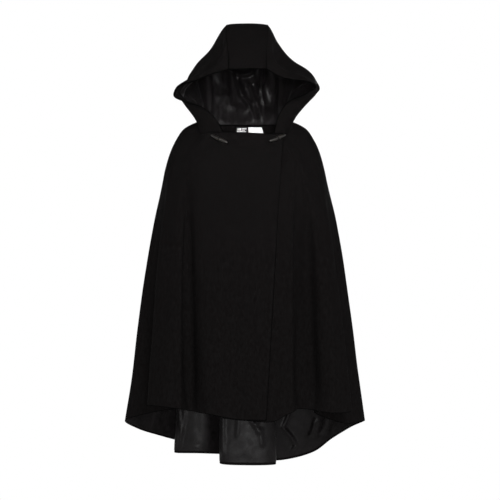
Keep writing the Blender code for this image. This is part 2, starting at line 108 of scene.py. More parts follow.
def hexLinear(code):
    # sRGB hex digits to linear light, by the sRGB curve on each of the three channels
    parts = [int(code[i:i + 2], 16) / 255 for i in (0, 2, 4)]
    return [c / 12.92 if c <= 0.04045 else ((c + 0.055) / 1.055) ** 2.4 for c in parts] + [1.0]


def tableColumn(table, columns, name):
    # one named column of a table as an array
    return np.array([row[columns.index(name)] for row in table], float)


def smoothLine(knots, values, at):
    # a cubic between each two knots, its slope at a knot the weighted mean of the slopes on both sides
    knots, values, at = (np.asarray(v, float) for v in (knots, values, at))
    step = np.diff(knots)
    rise = np.diff(values) / step
    between = (rise[:-1] * step[1:] + rise[1:] * step[:-1]) / (step[1:] + step[:-1])
    slope = np.concatenate([rise[:1], between, rise[-1:]])
    i = np.clip(np.searchsorted(knots, at, side="right") - 1, 0, len(step) - 1)
    t = (at - knots[i]) / step[i]
    return ((1 + 2 * t) * (1 - t) ** 2 * values[i] + t * (1 - t) ** 2 * step[i] * slope[i]
            + t * t * (3 - 2 * t) * values[i + 1] + t * t * (t - 1) * step[i] * slope[i + 1])


def ease(t):
    # 0 below 0, 1 above 1, and 3tt - 2ttt between
    t = np.clip(t, 0.0, 1.0)
    return t * t * (3 - 2 * t)


def unit(vectors):
    # vectors divided by their length
    return vectors / np.maximum(np.linalg.norm(vectors, axis=-1, keepdims=True), 1e-12)


def gridNormals(points):
    # cross product of the steps along both directions of the grid
    return unit(np.cross(np.gradient(points, axis=0), np.gradient(points, axis=1)))


def arcAlong(points, axis):
    # running length of a grid's lines along one direction, starting at 0
    steps = np.linalg.norm(np.diff(points, axis=axis), axis=-1)
    total = np.cumsum(steps, axis=axis)
    return np.concatenate([np.zeros_like(np.take(total, [0], axis)), total], axis)


# Small unevenness of each cloth: height, size across, how much slower it changes upwards, seed, waves
unevenness = {
    "body wool": (0.0011, 0.090, 0.35, 3, 14),
    "body satin": (0.0006, 0.060, 0.35, 8, 14),
    "body satin puckers": (0.00035, 0.020, 0.45, 9, 24),
    "hood wool": (0.0009, 0.075, 1.0, 21, 14),
    "hood satin": (0.0009, 0.050, 0.3, 31, 14),
    "hood satin puckers": (0.00042, 0.017, 0.6, 32, 24),
    "hood roll": (0.5, 0.016, 0.6, 33, 14),
}


def uneven(points, name, base=0.0):
    # height times the base plus a sum of sine waves in seeded directions, which runs from about -1 to 1
    height, size, upwards, seed, waves = unevenness[name]
    rng = np.random.default_rng(seed)
    way = unit(rng.normal(size=(waves, 3))) * (2 * math.pi / size) * rng.uniform(0.6, 1.5, (waves, 1))
    phase = rng.uniform(0, 2 * math.pi, waves)
    waved = np.sin(points * np.array([1.0, 1.0, upwards]) @ way.T + phase).sum(axis=-1)
    return height * (base + waved / math.sqrt(waves / 2) / 1.8)


def ringAt(down, name):
    # one measure of the rings, carried smoothly down the body
    return smoothLine(tableColumn(bodyCut["rings"], bodyCut["ringColumns"], "down"),
                      tableColumn(bodyCut["rings"], bodyCut["ringColumns"], name), down)


def sideReach(down, across):
    # half width of the ring, where what exceeds the front's width goes to the sides by the cube of across
    side = ringAt(down, "side")
    plain = np.minimum(side, bodyCut["frontWidth"])
    return plain + (side - plain) * np.abs(across) ** 3


def plainForm(turn, down):
    # a squared ellipse at each height: x = reach sin and y = depth cos, each with a little third harmonic,
    # and z drawn from the side's height to the front's or the back's as the bearing leaves the side
    sine, cosine, square = np.sin(turn), np.cos(turn), bodyCut["ringSquare"]
    across = (sine + square * np.sin(3 * turn)) / (1 - square)
    along = (cosine - square * np.cos(3 * turn)) / (1 - square)
    ahead = cosine > 0
    depth = np.where(ahead, -ringAt(down, "front"), ringAt(down, "back"))
    tilt = np.where(ahead, ease(cosine / 0.6), ease(-cosine))
    end = np.where(ahead, ringAt(down, "zFront"), ringAt(down, "zBack"))
    height = ringAt(down, "zSide") * (1 - tilt) + end * tilt
    return np.stack([sideReach(down, across) * across, -along * depth, height], axis=-1)


def turnAt(x, down):
    # bearing at which the plain form reaches x, by Newton's steps
    turn = np.arcsin(np.clip(x / sideReach(down, 1.0), -0.9, 0.9))
    for _ in range(8):
        here = plainForm(turn, down)[..., 0]
        turn = turn - (here - x) / ((plainForm(turn + 1e-4, down)[..., 0] - here) / 1e-4)
    return turn


foldHem = np.stack([tableColumn(bodyCut["folds"], bodyCut["foldColumns"], c) for c in "xyz"], axis=-1)
foldKnots = np.concatenate([[0], np.cumsum(np.linalg.norm(np.diff(foldHem, axis=0), axis=1))])
foldAt = {row[0]: foldKnots[i] for i, row in enumerate(bodyCut["folds"])}


def foldColumn(name, along):
    # one measure of the folds, carried smoothly along the hem
    return smoothLine(foldKnots, tableColumn(bodyCut["folds"], bodyCut["foldColumns"], name), along)


def bodyPoint(along, down):
    # the plain form at the fold's bearing, plus the hem's offset from it, grown down the body by a power
    along, down = np.broadcast_arrays(along, down)
    hem = np.stack([smoothLine(foldKnots, foldHem[:, k], along) for k in range(3)], axis=-1)
    turn = np.radians(foldColumn("turn", along))
    fold = hem - plainForm(turn, np.ones_like(down))
    ends = ((bodyCut["overEdge"], (foldKnots[1] - along) / foldKnots[1]),
            (bodyCut["underEdge"], (along - foldKnots[-2]) / (foldKnots[-1] - foldKnots[-2])))
    for (top, low, early), share in ends:
        atHem = turnAt(np.full_like(down, low), np.ones_like(down))
        turn = turn + np.clip(share, 0, 1) * (turnAt(top + (low - top) * down ** early, down) - atHem)
    below = down - bodyCut["foldStart"]
    share = np.clip(below / (1 - bodyCut["foldStart"]), 0, 1)
    grown = share ** foldColumn("late", along) * ease(below / bodyCut["foldSoft"])
    return plainForm(turn, down) + fold * grown[..., None]


def bodyGrid(along, rows):
    # outer face of the wool and its outward directions, lifted where the over front lies on the under front
    top = np.clip(foldColumn("top", along), 0, 1)[:, None]
    points = bodyPoint(along[:, None], top + (1 - top) * rows[None, :])
    normals = gridNormals(points)
    level = (along - foldAt["left trough"]) / (foldAt["left face"] - foldAt["left trough"])
    lift = bodyCut["wrapLift"] * (1 - ease(level))
    return points + normals * lift[:, None, None], normals


def spaced(start, end, count, edge=0.0012):
    # even steps with two short ones at each end, so that a rolled edge has points to bend at
    inner = np.linspace(start, end, count)
    near = np.array([0.25, 0.6, 1.0]) * edge
    return np.unique(np.concatenate([[start], start + near, inner[1:-1], end - near[::-1], [end]]))


# Which coordinate runs across each side of the poncho, and which way that side faces
faceWays = {"front": (0, np.array([0, -1.0, 0])), "back": (0, np.array([0, 1.0, 0])),
            "left": (1, np.array([-1.0, 0, 0])), "right": (1, np.array([1.0, 0, 0]))}


def creaseHeight(points, normals, creases):
    # each crease is a bell across its bowed line, faded at both ends and where the cloth turns away
    height = np.zeros(points.shape[:-1])
    for _, face, startAcross, startUp, endAcross, endUp, width, depth, bow in creases:
        axis, way = faceWays[face]
        run = np.array([endAcross - startAcross, endUp - startUp])
        size = np.linalg.norm(run)
        place = points[..., [axis, 2]] - np.array([startAcross, startUp])
        share = (place @ run) / size ** 2
        off = (place @ np.array([-run[1], run[0]])) / size - bow * 4 * share * (1 - share)
        taper = ease((share + 0.12) / 0.3) * ease((1.12 - share) / 0.3)
        height += depth * np.exp(-(off / width) ** 2) * taper * ease(normals @ way * 1.6)
    return height


def gridQuads(index):
    # the four corners of each cell of a grid of vertex numbers
    return np.stack([index[:-1, :-1], index[1:, :-1], index[1:, 1:], index[:-1, 1:]], axis=-1).reshape(-1, 4)


def clothShell(name, points, normals, thick):
    # two faces half a thickness each side of the middle layer, drawn together at the rim by a quarter circle
    middle = points - normals * thick / 2
    columns, rows = points.shape[:2]
    across, down = arcAlong(points, 0), arcAlong(points, 1)
    rim = np.minimum(np.minimum(across, across[-1:] - across), np.minimum(down, down[:, -1:] - down))
    reach = thick * 0.6
    half = thick / 2 * np.sqrt(np.clip(1 - np.clip(1 - rim / reach, 0, 1) ** 2, 0, 1))[..., None]
    index = np.arange(columns * rows).reshape(columns, rows)
    inner = index.copy()
    inner[1:-1, 1:-1] = columns * rows + np.arange(index[1:-1, 1:-1].size).reshape(columns - 2, rows - 2)
    outerPoints, innerPoints = middle + normals * half, (middle - normals * half)[1:-1, 1:-1]
    vertices = np.concatenate([outerPoints.reshape(-1, 3), innerPoints.reshape(-1, 3)])
    flatUv = np.stack([across, down], axis=-1)
    uvAll = np.concatenate([flatUv.reshape(-1, 2), flatUv[1:-1, 1:-1].reshape(-1, 2)])
    piece = addMesh(name, vertices, np.concatenate([gridQuads(index), gridQuads(inner)[:, ::-1]]), uvAll)
    # the distance in from the rim, which places the wool's painted edge shade
    inFromEdge = piece.data.attributes.new("inFromEdge", "FLOAT", "POINT")
    rimAll = np.concatenate([rim.ravel(), rim[1:-1, 1:-1].ravel()])
    inFromEdge.data.foreach_set("value", rimAll.astype(np.float32))
    return piece


def addMesh(name, vertices, quads, uv=None):
    # vertices and four-sided faces put into a new smooth mesh, with uv in metres where the cloth lies flat
    mesh = bpy.data.meshes.new(name)
    mesh.vertices.add(len(vertices))
    mesh.vertices.foreach_set("co", np.asarray(vertices, np.float32).ravel())
    mesh.loops.add(quads.size)
    mesh.loops.foreach_set("vertex_index", np.asarray(quads, np.int32).ravel())
    mesh.polygons.add(len(quads))
    mesh.polygons.foreach_set("loop_start", np.arange(0, quads.size, 4, dtype=np.int32))
    mesh.polygons.foreach_set("use_smooth", np.ones(len(quads), bool))
    mesh.update(calc_edges=True)
    if uv is not None:
        layer = mesh.uv_layers.new(name="flat")
        layer.data.foreach_set("uv", np.asarray(uv[quads.ravel()], np.float32).ravel())
    mesh.validate()
    piece = bpy.data.objects.new(name, mesh)
    bpy.context.scene.collection.objects.link(piece)
    return piece


def finishPiece(piece, finish, replaced):
    # material, the body that it rides on and the solids that it stands for
    piece.data.materials.clear()
    piece.data.materials.append(finish)
    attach(piece, "root")
    if replaced:
        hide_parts(*replaced)


def finishCloth(piece, node, finish):
    # the same for a piece of cloth, which stands for the one solid of its node
    finishPiece(piece, finish, [node])


def setSockets(tree, node, values):
    # an input is linked where its value is another node's socket, and set where it is a number or a colour
    for key, value in values.items():
        if isinstance(value, bpy.types.NodeSocket):
            tree.links.new(value, node.inputs[key])
        else:
            node.inputs[key].default_value = value


def addNode(tree, kind, values=None, settings=None, stops=()):
    # one node with its inputs, its settings and, on a colour ramp, its (place, colour) stops
    node = tree.nodes.new("ShaderNode" + kind)
    for key, value in (settings or {}).items():
        setattr(node, key, value)
    setSockets(tree, node, values or {})
    for point, (place, code) in zip(node.color_ramp.elements if stops else (), stops):
        point.position, point.color = place, hexLinear(code)
    return node


def newMaterial(name, fixed):
    # a material with one Principled shader whose fixed sockets are set
    made = bpy.data.materials.new(name)
    made.use_nodes = True
    tree = made.node_tree
    shader = tree.nodes["Principled BSDF"]
    setSockets(tree, shader, fixed)
    return made, tree, shader


waveScale = 0.314  # a Wave texture of scale s has a band every 0.314 / s metres
# Each look: sRGB hex colours, shader values from 0 to 1, and sizes of the patterns in metres
# the darker edge colour and its width below are painted shade along every edge, partly pressed nap
woolLook = {"dark": "060505", "light": "0b0a0a", "paintedEdgeShade": "020202", "paintedEdgeShadeWidth": 0.0027, "rough": 0.95,
            "specular": 0.012, "sheen": 0.004, "fibre": 0.0024, "mottle": 0.006, "nap": 0.6}


def meltonWool():
    # melton wool, woven, felted and brushed: no weave shows, only a short nap that catches grazing light
    # and a faint mottle; fibres of 0.02 mm are far too fine to show, so the nap is drawn at 2.4 mm
    made, tree, shader = newMaterial("brushedMeltonWool", {
        "Roughness": woolLook["rough"], "Specular IOR Level": woolLook["specular"],
        "Sheen Weight": woolLook["sheen"], "Sheen Roughness": 0.5, "Sheen Tint": hexLinear("8a8486")})
    place = addNode(tree, "TexCoord").outputs["Object"]
    hang = addNode(tree, "Mapping", {"Vector": place, "Scale": (1.0, 1.0, 0.45)})
    mottle = addNode(tree, "TexNoise", {"Vector": hang.outputs["Vector"], "Scale": 1 / woolLook["mottle"],
                                        "Detail": 4.0, "Roughness": 0.7})
    colour = addNode(tree, "ValToRGB", {"Fac": mottle.outputs["Fac"]},
                     stops=[(0.3, woolLook["dark"]), (0.7, woolLook["light"])])
    # at seams and turned edges the colour darkens: partly the nap pressed flat, partly painted shade standing
    # in for the shadow line under the wrap's free edge
    edge = addNode(tree, "Attribute", settings={"attribute_name": "inFromEdge"})
    width = woolLook["paintedEdgeShadeWidth"]
    paintedEdgeShade = addNode(tree, "MapRange", {"Value": edge.outputs["Fac"], "From Min": 0.4 * width,
                                         "From Max": width}, {"interpolation_type": "SMOOTHSTEP"})
    colour = addNode(tree, "MixRGB", {"Fac": paintedEdgeShade.outputs["Result"], "Color2": colour.outputs["Color"],
                                      "Color1": hexLinear(woolLook["paintedEdgeShade"])})
    nap = addNode(tree, "TexNoise", {"Vector": place, "Scale": 1 / woolLook["fibre"], "Detail": 6.0,
                                     "Roughness": 0.7, "Distortion": 0.6})
    bump = addNode(tree, "Bump", {"Height": nap.outputs["Fac"], "Strength": woolLook["nap"],
                                  "Distance": 0.0007})
    setSockets(tree, shader, {"Base Color": colour.outputs["Color"], "Normal": bump.outputs["Normal"]})
    return made


satinLook = {"dark": "090808", "light": "100e0f", "rough": 0.41, "specular": 0.06, "pucker": 0.016,
             "twill": 0.0014}


def liningSatin():
    # acetate satin, woven with long floats: a smooth low gloss along the warp that shows each pucker;
    # threads of 0.1 mm are too fine to show, so the floats are drawn 1.4 mm apart and very shallow
    made, tree, shader = newMaterial("wovenSatinLining", {
        "Specular IOR Level": satinLook["specular"], "Anisotropic": 0.45, "Sheen Weight": 0.02,
        "Sheen Roughness": 0.35})
    place = addNode(tree, "TexCoord").outputs
    pucker = addNode(tree, "TexNoise", {"Vector": place["Object"], "Scale": 1 / satinLook["pucker"],
                                        "Detail": 3.0, "Roughness": 0.5, "Distortion": 0.8}).outputs["Fac"]
    colour = addNode(tree, "ValToRGB", {"Fac": pucker},
                     stops=[(0.3, satinLook["dark"]), (0.75, satinLook["light"])])
    rough = satinLook["rough"]
    gloss = addNode(tree, "MapRange", {"Value": pucker, "From Min": 0.3, "From Max": 0.7,
                                       "To Min": rough - 0.05, "To Max": rough + 0.08})
    floats = addNode(tree, "TexWave", {"Vector": place["UV"], "Scale": waveScale / satinLook["twill"],
                                       "Distortion": 0.4}, {"bands_direction": "DIAGONAL"})
    weave = addNode(tree, "Bump", {"Height": floats.outputs["Fac"], "Strength": 0.12, "Distance": 0.0001})
    bump = addNode(tree, "Bump", {"Height": pucker, "Normal": weave.outputs["Normal"], "Strength": 0.2,
                                  "Distance": 0.0012})
    setSockets(tree, shader, {"Base Color": colour.outputs["Color"], "Roughness": gloss.outputs["Result"],
                              "Normal": bump.outputs["Normal"]})
    return made


hornLook = {"dark": "040403", "light": "26211c", "rough": 0.34, "grain": 0.0035}


def polishedHorn():
    # buffalo horn resin, turned and polished: dark with smoky streaks along it under a clear gloss
    made, tree, shader = newMaterial("polishedHorn", {
        "Coat Weight": 0.15, "Coat Roughness": 0.16, "IOR": 1.54, "Specular IOR Level": 0.3})
    place = addNode(tree, "TexCoord").outputs["UV"]
    stretch = addNode(tree, "Mapping", {"Vector": place, "Scale": (0.25, 1.0, 1.0)})
    streak = addNode(tree, "TexNoise", {"Vector": stretch.outputs["Vector"], "Scale": 1 / hornLook["grain"],
                                        "Detail": 5.0, "Roughness": 0.6, "Distortion": 1.2}).outputs["Fac"]
    colour = addNode(tree, "ValToRGB", {"Fac": streak},
                     stops=[(0.46, hornLook["dark"]), (0.66, hornLook["light"])])
    rough = addNode(tree, "MapRange", {"Value": streak, "To Min": hornLook["rough"] - 0.06,
                                       "To Max": hornLook["rough"] + 0.12})
    bump = addNode(tree, "Bump", {"Height": streak, "Strength": 0.15, "Distance": 0.0003})
    setSockets(tree, shader, {"Base Color": colour.outputs["Color"], "Roughness": rough.outputs["Result"],
                              "Normal": bump.outputs["Normal"]})
    return made


def twistedThread(name, code, pitch):
    # spun polyester thread or cord: slanted plies, drawn by a wave along the uv, with a soft dull shine
    made, tree, shader = newMaterial(name, {
        "Roughness": 0.75, "Specular IOR Level": 0.08, "Base Color": hexLinear(code)})
    plies = addNode(tree, "TexWave", {"Vector": addNode(tree, "TexCoord").outputs["UV"],
                                      "Scale": waveScale / pitch}, {"bands_direction": "DIAGONAL"})
    bump = addNode(tree, "Bump", {"Height": plies.outputs["Fac"], "Strength": 0.5, "Distance": 0.0003})
    setSockets(tree, shader, {"Normal": bump.outputs["Normal"]})
    return made


labelLook = {"rib": 0.0008, "black": "121113", "bar": "a9a7a8", "white": "d9d7d8"}


def wovenLabel(name, ground, bars):
    # damask ribbon, woven close: fine cross ribs, drawn at 0.8 mm, under plain bars
    made, tree, shader = newMaterial(name, {
        "Roughness": 0.62, "Specular IOR Level": 0.3, "Sheen Weight": 0.05})
    place = addNode(tree, "TexCoord").outputs["UV"]
    ribs = addNode(tree, "TexWave", {"Vector": place, "Scale": waveScale / labelLook["rib"]},
                   {"bands_direction": "Y"}).outputs["Fac"]
    bump = addNode(tree, "Bump", {"Height": ribs, "Strength": 0.25, "Distance": 0.0001})
    # painted shade: the ground is a fifth darker between two ribs, where the ribs shade it
    between = [c * 0.8 for c in ground[:3]] + [1.0]  # the shade between two ribs
    shade = addNode(tree, "MixRGB", {"Fac": ribs, "Color1": ground, "Color2": between})
    spot = addNode(tree, "SeparateXYZ", {"Vector": place})
    for left, right, low, high in bars:
        covers = []
        for axis, start, end in (("X", left, right), ("Y", low, high)):
            within = {0: spot.outputs[axis], 1: (start + end) / 2, 2: (end - start) / 2}
            covers.append(addNode(tree, "Math", within, {"operation": "COMPARE"}).outputs["Value"])
        inside = addNode(tree, "Math", {0: covers[0], 1: covers[1]}, {"operation": "MULTIPLY"})
        shade = addNode(tree, "MixRGB", {"Fac": inside.outputs["Value"], "Color1": shade.outputs["Color"],
                                         "Color2": hexLinear(labelLook["bar"])})
    setSockets(tree, shader, {"Base Color": shade.outputs["Color"], "Normal": bump.outputs["Normal"]})
    return made


wool, satin, horn = meltonWool(), liningSatin(), polishedHorn()
waxedCord = twistedThread("waxedCord", "100f0f", 0.0011)
sewingThread = twistedThread("sewingThread", "040404", 0.0006)
print("materials made")

# Soft breaks of the heavy wool, in metres. The columns of this and the later tables are name, side faced,
# start across, start z, end across, end z, width, height and bow; left and right in them are the photo's
bodyCreases = (
    ("left neck drag", "front", -0.085, -0.030, -0.165, -0.120, 0.010, -0.0016, 0.006),
    ("left toggle drag", "front", -0.040, -0.058, 0.060, -0.075, 0.012, 0.0012, -0.006),
    ("right neck drag", "front", 0.118, -0.040, 0.175, -0.110, 0.010, -0.0016, -0.006),
    ("left chest hang", "front", -0.120, -0.100, -0.132, -0.420, 0.014, 0.0022, 0.004),
    ("left trough deep", "front", -0.160, -0.170, -0.148, -0.770, 0.014, -0.0190, 0.002),
    ("left trough rise", "front", -0.118, -0.250, -0.108, -0.740, 0.016, 0.0040, 0.002),
    ("right trough deep", "front", 0.144, -0.190, 0.146, -0.770, 0.011, -0.0170, -0.002),
    ("right trough side", "front", 0.170, -0.240, 0.180, -0.770, 0.018, -0.0210, -0.003),
    ("right crest line", "front", 0.124, -0.260, 0.122, -0.770, 0.008, 0.0036, 0.0),
    ("right flank swell", "front", 0.222, -0.300, 0.236, -0.740, 0.016, 0.0050, 0.0),
    ("middle low hang", "front", 0.034, -0.560, 0.030, -0.780, 0.016, -0.0030, 0.0),
    ("middle hang", "front", -0.020, -0.240, -0.012, -0.700, 0.030, -0.0016, 0.006),
    ("middle swell", "front", 0.034, -0.300, 0.026, -0.740, 0.024, 0.0018, -0.004),
    ("right band", "front", 0.198, -0.200, 0.206, -0.420, 0.012, -0.0034, 0.004),
    ("left band", "front", -0.205, -0.230, -0.216, -0.560, 0.012, -0.0026, -0.004),
    ("left sleeve break", "front", -0.212, -0.290, -0.213, -0.350, 0.005, -0.0016, 0.0),
    ("right sleeve break", "front", 0.247, -0.350, 0.250, -0.440, 0.005, -0.0018, 0.0),
    ("left side hang", "left", 0.020, -0.160, 0.030, -0.640, 0.020, 0.0034, 0.006),
    ("left side break", "left", -0.060, -0.190, -0.075, -0.480, 0.014, -0.0030, 0.004),
    ("right side hang", "right", 0.024, -0.180, 0.040, -0.660, 0.022, 0.0032, -0.006),
    ("right side break", "right", -0.070, -0.170, -0.080, -0.430, 0.014, -0.0030, 0.004),
    ("back yoke left", "back", -0.110, -0.060, -0.170, -0.240, 0.018, -0.0024, 0.010),
    ("back yoke right", "back", 0.112, -0.060, 0.168, -0.230, 0.018, -0.0022, -0.010),
    ("back middle hang", "back", 0.014, -0.100, 0.006, -0.460, 0.026, 0.0026, 0.004),
    ("back left hang", "back", -0.075, -0.120, -0.095, -0.520, 0.016, 0.0028, -0.006),
    ("back right hang", "back", 0.098, -0.140, 0.120, -0.560, 0.018, 0.0026, 0.006),
)
bodyPanels = {
    "front_over": {"name": "wrapFront", "ends": ("over edge", "left outer corner"),
                   "flat": (0.72, 0.86), "area": 0.45},
    "back": {"name": "backPanel", "ends": ("left outer corner", "right outer corner"),
             "flat": (1.42, 1.02), "area": 0.95},
    "front_under": {"name": "underFront", "ends": ("right outer corner", "under edge"),
                    "flat": (0.80, 0.86), "area": 0.45},
}


def bodyRelief(points, normals):
    # the creases plus a slow unevenness of the hanging wool, faded out near the neck seam
    slow = uneven(points, "body wool") * ease((-0.03 - points[..., 2]) / 0.12)
    return creaseHeight(points, normals, bodyCreases) + slow


def dressedBody(along, rows):
    # the cape's grid with its relief moved out along the normals, which are then measured again
    points, normals = bodyGrid(along, rows)
    points = points + normals * bodyRelief(points, normals)[..., None]
    return points, gridNormals(points)


for node, cut in bodyPanels.items():
    start, end = (foldAt[name] for name in cut["ends"])
    along = spaced(start, end, int((end - start) / bodyCut["cell"]))
    rows = spaced(0.0, 1.0, bodyCut["rowCount"], 0.0016)
    points, normals = dressedBody(along, rows)
    shell = clothShell(cut["name"], points, normals, bodyCut["woolThick"])
    finishCloth(shell, node, wool)
print("wool body made")

# Folds of the satin, whose height is measured into the hollow
liningFolds = (
    ("hem ridge far left", "back", -0.190, -0.800, -0.192, -0.930, 0.0044, 0.0070, 0.006),
    ("hem ridge beside it", "back", -0.176, -0.790, -0.184, -0.880, 0.0040, 0.0040, 0.004),
    ("hem lobe wrinkle", "back", -0.150, -0.912, -0.100, -0.922, 0.0050, 0.0030, 0.004),
    ("hem hollow left", "back", -0.112, -0.760, -0.104, -0.945, 0.0140, 0.0034, -0.004),
    ("hem ridge left", "back", -0.060, -0.560, -0.061, -0.952, 0.0040, 0.0070, 0.000),
    ("hem pucker first", "back", -0.020, -0.800, -0.023, -0.880, 0.0045, 0.0036, 0.002),
    ("hem pucker low", "back", 0.012, -0.826, 0.040, -0.868, 0.0042, 0.0050, 0.004),
    ("hem pucker high", "back", 0.040, -0.800, 0.026, -0.846, 0.0045, 0.0040, 0.005),
    ("hem pucker edge", "back", 0.046, -0.850, 0.050, -0.905, 0.0045, 0.0040, -0.003),
    ("hem zigzag top", "back", 0.132, -0.806, 0.108, -0.864, 0.0050, 0.0080, 0.003),
    ("hem zigzag upper", "back", 0.108, -0.864, 0.150, -0.918, 0.0048, 0.0090, 0.003),
    ("hem zigzag lower", "back", 0.150, -0.918, 0.134, -0.950, 0.0048, 0.0070, -0.003),
    ("hem gleam high", "back", 0.196, -0.800, 0.246, -0.824, 0.0060, 0.0060, 0.003),
    ("hem gleam right", "back", 0.208, -0.836, 0.192, -0.890, 0.0060, 0.0070, 0.003),
    ("hem gleam far right", "back", 0.240, -0.830, 0.222, -0.880, 0.0060, 0.0044, 0.003),
    ("back sag middle", "back", 0.016, -0.200, 0.010, -0.620, 0.014, 0.0034, 0.006),
    ("back sag right", "back", 0.140, -0.280, 0.168, -0.740, 0.013, 0.0032, -0.008),
    ("left inside sag", "left", 0.020, -0.220, 0.032, -0.700, 0.012, 0.0030, 0.006),
    ("right inside sag", "right", 0.024, -0.200, 0.040, -0.690, 0.012, 0.0030, -0.006),
    ("front inside sag", "front", 0.090, -0.260, 0.096, -0.700, 0.012, 0.0024, 0.006),
)
liningPanels = {
    "lining_front_over": {"name": "wrapFrontLining", "ends": ("over edge", "left outer corner"),
                          "cell": 0.0066, "rows": 110, "flat": (0.70, 0.82), "area": 0.38},
    "lining_back": {"name": "backLining", "ends": ("left outer corner", "right outer corner"),
                    "cell": 0.0044, "rows": 145, "flat": (1.38, 0.98), "area": 0.76},
    "lining_front_under": {"name": "underFrontLining", "ends": ("right outer corner", "under edge"),
                           "cell": 0.0066, "rows": 110, "flat": (0.76, 0.82), "area": 0.38},
}
# The line where facing and linings meet as a share of the way down, how much closer the rows come together
# towards the hem, where they show, and the width over which the satin lies flat beside its seams
liningCut = {"top": 0.045, "closer": 1.5, "sewn": 0.03}
# Where the satin is tucked: columns averaged to each side, how far the pleat stands out before it starts and
# is complete, the height above which it does so, and the columns beside a seam over which it fades
tuckCut = {"columns": 9, "from": 0.0004, "over": 0.0008, "aboveHem": -0.81, "soft": 0.05, "seam": 14}


def satinRelief(points, normals):
    # the listed folds plus small puckers in two sizes, always towards the hollow
    pucker, fine = uneven(points, "body satin", 1), uneven(points, "body satin puckers", 1)
    return np.clip(creaseHeight(points, normals, liningFolds) + pucker + fine, 0, None)


def tuckedSatin(satinPoints, points, normals):
    # the satin doesn't reach the tip of a sharp outward pleat: above the hem it runs through the mean of its
    # neighbours wherever the wool's own neighbours lie on the hollow's side of it
    columns = np.arange(len(points))
    steps = range(-tuckCut["columns"], tuckCut["columns"] + 1)
    near = [np.clip(columns + step, 0, len(points) - 1) for step in steps]
    grids = (satinPoints, points, normals)
    satinMean, woolMean, outward = (sum(grid[k] for k in near) / len(near) for grid in grids)
    inward = -np.sum((woolMean - points) * unit(outward), axis=-1)
    fromSeam = np.minimum(columns, columns[::-1])[:, None]
    above = ease((points[..., 2] - tuckCut["aboveHem"]) / tuckCut["soft"])
    share = ease((inward - tuckCut["from"]) / tuckCut["over"]) * above * ease(fromSeam / tuckCut["seam"])
    return satinPoints + (satinMean - satinPoints) * share[..., None]


for node, cut in liningPanels.items():
    start, end = (foldAt[name] for name in cut["ends"])
    along = spaced(start, end, int((end - start) / cut["cell"]))
    closer = 1 - (1 - spaced(0.0, 1.0, cut["rows"], 0.0016)) ** liningCut["closer"]
    rows = liningCut["top"] + (1 - liningCut["top"] - bodyCut["hemTurn"]) * closer
    points, normals = dressedBody(along, rows)
    low = arcAlong(points, 1)
    held = ease(np.minimum(low, low[:, -1:] - low) / liningCut["sewn"])
    depth = bodyCut["woolThick"] + bodyCut["seam"] + satinRelief(points, normals) * held
    points = tuckedSatin(points - normals * depth[..., None], points, normals)
    shell = clothShell(cut["name"], points, gridNormals(points), bodyCut["liningThick"])
    finishCloth(shell, node, satin)

facingCut = {"thick": 0.0012, "ends": ("left flat", "right hood end"), "columns": 360, "rows": 26,
             "flat": (0.62, 0.05), "area": 0.026}
start, end = (foldAt[name] for name in facingCut["ends"])
along = spaced(start, end, facingCut["columns"])
points, normals = dressedBody(along, spaced(0.0, liningCut["top"], facingCut["rows"]))
points = points - normals * (bodyCut["woolThick"] + bodyCut["seam"])
shell = clothShell("neckFacing", points, normals, facingCut["thick"])
finishCloth(shell, "neck_facing", wool)
print("body linings made")

# The hood's middle strip from brim to neck seam, then the front edge of each side, in metres
hoodCut = {
    # name, x, y, z, half width
    "strip": (
        ("brim", 0.008, -0.152, 0.144, 0.051),
        ("brow", 0.007, -0.126, 0.186, 0.052),
        ("forehead", 0.006, -0.084, 0.238, 0.057),
        ("crown front", 0.006, -0.034, 0.279, 0.059),
        ("crown", 0.006, 0.018, 0.294, 0.059),
        ("crown back", 0.005, 0.072, 0.276, 0.057),
        ("back of head", 0.002, 0.110, 0.230, 0.051),
        ("hollow", 0.001, 0.118, 0.165, 0.048),
        ("nape", 0.0, 0.106, 0.088, 0.046),
        ("neck seam", 0.0, 0.082, 0.016, 0.043),
    ),
    "stripCrown": 0.0004,
    "soften": (0.0026, 0.009),  # how far the cloth is drawn in along the strip's seams, within what distance
    "corner": 6,               # the row of the strip where a side's top edge turns into its back edge
    "edges": {
        -1: (
            ("brim", -0.086, -0.146, 0.132),
            ("temple", -0.134, -0.139, 0.115),
            ("above tip", -0.186, -0.131, 0.096),
            ("tip", -0.193, -0.126, 0.075),
            ("below tip", -0.164, -0.121, 0.058),
            ("cheek", -0.110, -0.118, 0.040),
            ("jaw", -0.083, -0.116, 0.017),
        ),
        1: (
            ("brim", 0.090, -0.146, 0.128),
            ("temple", 0.138, -0.139, 0.116),
            ("above tip", 0.180, -0.131, 0.110),
            ("tip", 0.193, -0.127, 0.099),
            ("below tip", 0.169, -0.122, 0.080),
            ("cheek", 0.112, -0.115, 0.053),
            ("jaw", 0.092, -0.110, 0.022),
        ),
    },
    # fullness of the sides: side, share back, share up, width, and how far out
    "fullness": (
        ("left head side", -1, 0.70, 0.60, 0.35, 0.010),
        ("left temple", -1, 0.26, 0.73, 0.28, -0.100),
        ("left neck side", -1, 0.28, 0.25, 0.25, 0.039),
        ("right head side", 1, 0.75, 0.60, 0.35, 0.010),
        ("right temple", 1, 0.27, 0.67, 0.26, -0.080),
        ("right neck side", 1, 0.26, 0.30, 0.28, 0.086),
    ),
    "marks": ("left flat", "box left edge", "box right edge", "right hood end"),
    "facing": 0.13,            # the facing's share of the way back from the front edge
    "sideColumns": 110, "sideRows": 90, "stripColumnsFine": 40,
}
